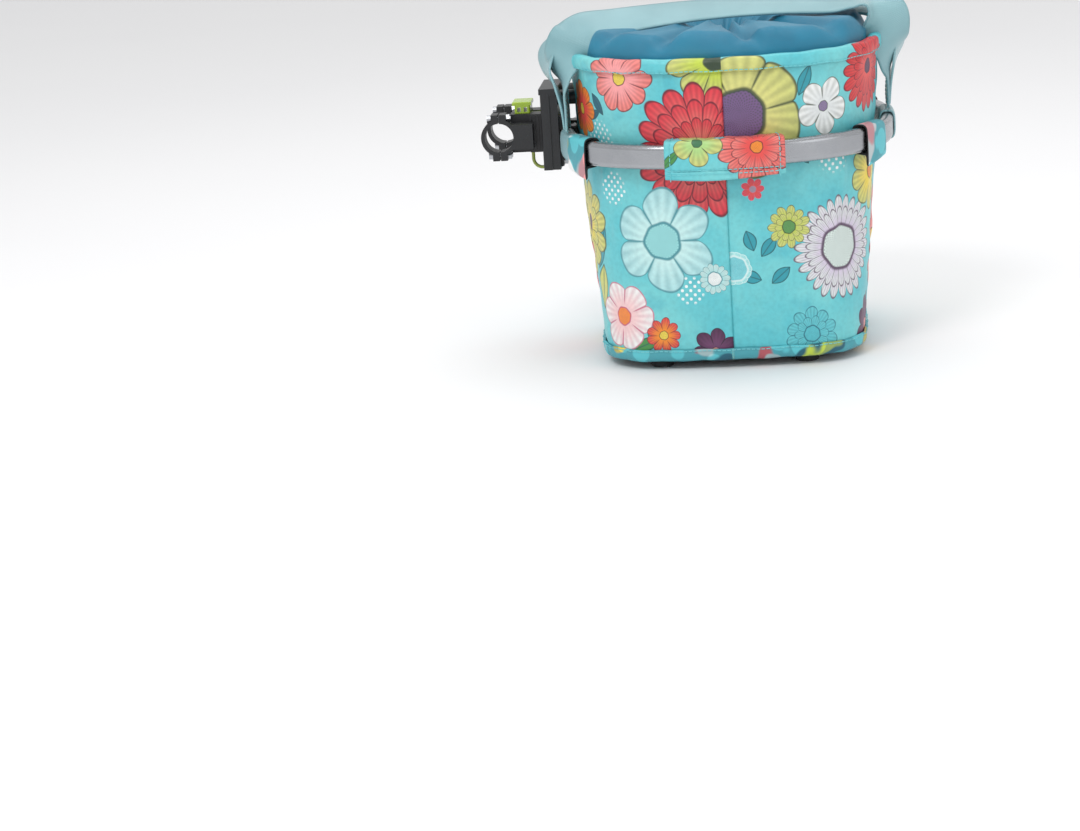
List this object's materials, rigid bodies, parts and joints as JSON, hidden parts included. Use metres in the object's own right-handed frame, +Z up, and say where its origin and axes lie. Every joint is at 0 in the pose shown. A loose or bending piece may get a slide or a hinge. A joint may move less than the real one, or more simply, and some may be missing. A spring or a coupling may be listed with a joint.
{
  "type": "handlebar basket",
  "caption": "Soft tapered handlebar basket hung in an oval aluminium hoop, with a drawstring collar, a webbing strap and a quick-release plate on a clamp-on adapter.",
  "frame": {"origin": "centre of the bag's flat underside, which its rubber feet hold 9 mm above a table", "axes": "+X forwards, away from the handlebar; +Y to the rider's left, along the handlebar; +Z up"},
  "size_m": [0.3907, 0.3062, 0.3039],
  "materials": {
    "printed_canvas": "coated canvas with a large flower print, soft sheen",
    "printed_binding": "folded strip of the printed canvas, stitched",
    "base_canvas": "plain black coated canvas",
    "lining": "thin plain woven polyester",
    "foam_board": "stiffening felt board",
    "board": "plain board",
    "webbing": "fine satin webbing",
    "hoop_aluminium": "satin anodised",
    "steel": "zinc plated",
    "spring_steel": "drawn wire",
    "black_plastic": "fine moulded grain",
    "lime_plastic": "smooth moulded",
    "cable_cover": "smooth plastic cover over steel cable",
    "black_foam": "closed-cell foam",
    "foot_rubber": "moulded rubber"
  },
  "bodies": {
    "adapter": {"adapter_body": "black_plastic", "clamp_cap_right": "black_plastic", "clamp_cap_left": "black_plastic", "clamp_screws": "steel", "clamp_nuts": "steel", "button_spring": "spring_steel", "latch_spring": "spring_steel", "safety_cable": "cable_cover"},
    "basket": {"shell_front_half": "printed_canvas", "shell_rear_half": "printed_canvas", "wall_stiffener": "foam_board", "lining_bag": "lining", "bottom_panel": "base_canvas", "base_board": "board", "top_hem_binding": "printed_binding", "bottom_binding": "printed_binding", "drawstring_collar": "lining", "rubber_feet": "foot_rubber", "foot_rivets": "steel", "hoop_front": "hoop_aluminium", "hoop_rear": "hoop_aluminium", "hoop_joiners": "black_plastic", "joiner_rivets": "steel", "grip_foam_right": "black_foam", "grip_foam_left": "black_foam", "grip_sleeve_right": "printed_canvas", "grip_sleeve_left": "printed_canvas", "corner_loop_rear_right": "printed_canvas", "corner_loop_rear_left": "printed_canvas", "corner_loop_front_right": "printed_canvas", "corner_loop_front_left": "printed_canvas", "shoulder_strap": "webbing", "mount_plate": "black_plastic", "hoop_saddles": "black_plastic", "saddle_screws": "steel", "saddle_nuts": "steel", "back_board": "board", "back_screws": "steel"},
    "button": {"release_button": "lime_plastic"},
    "latch": {"latch": "steel"}
  },
  "joints": [
    {"name": "basket_lift", "type": "slide", "parent": "adapter", "child": "basket", "axis": [0, 0, 1], "range_m": [0, 0.052]},
    {"name": "button_press", "type": "slide", "parent": "adapter", "child": "button", "axis": [0, 0, -1], "range_m": [0, 0.005], "stiffness_N_per_m": 500, "springref_m": -0.006, "deforming": ["button_spring"]},
    {"name": "latch_draw", "type": "slide", "parent": "adapter", "child": "latch", "axis": [-1, 0, 0], "range_m": [0, 0.004], "deforming": ["latch_spring"]}
  ],
  "couplings": [
    {"joint": "latch_draw", "follows": "button_press", "ratio": 0.8}
  ]
}
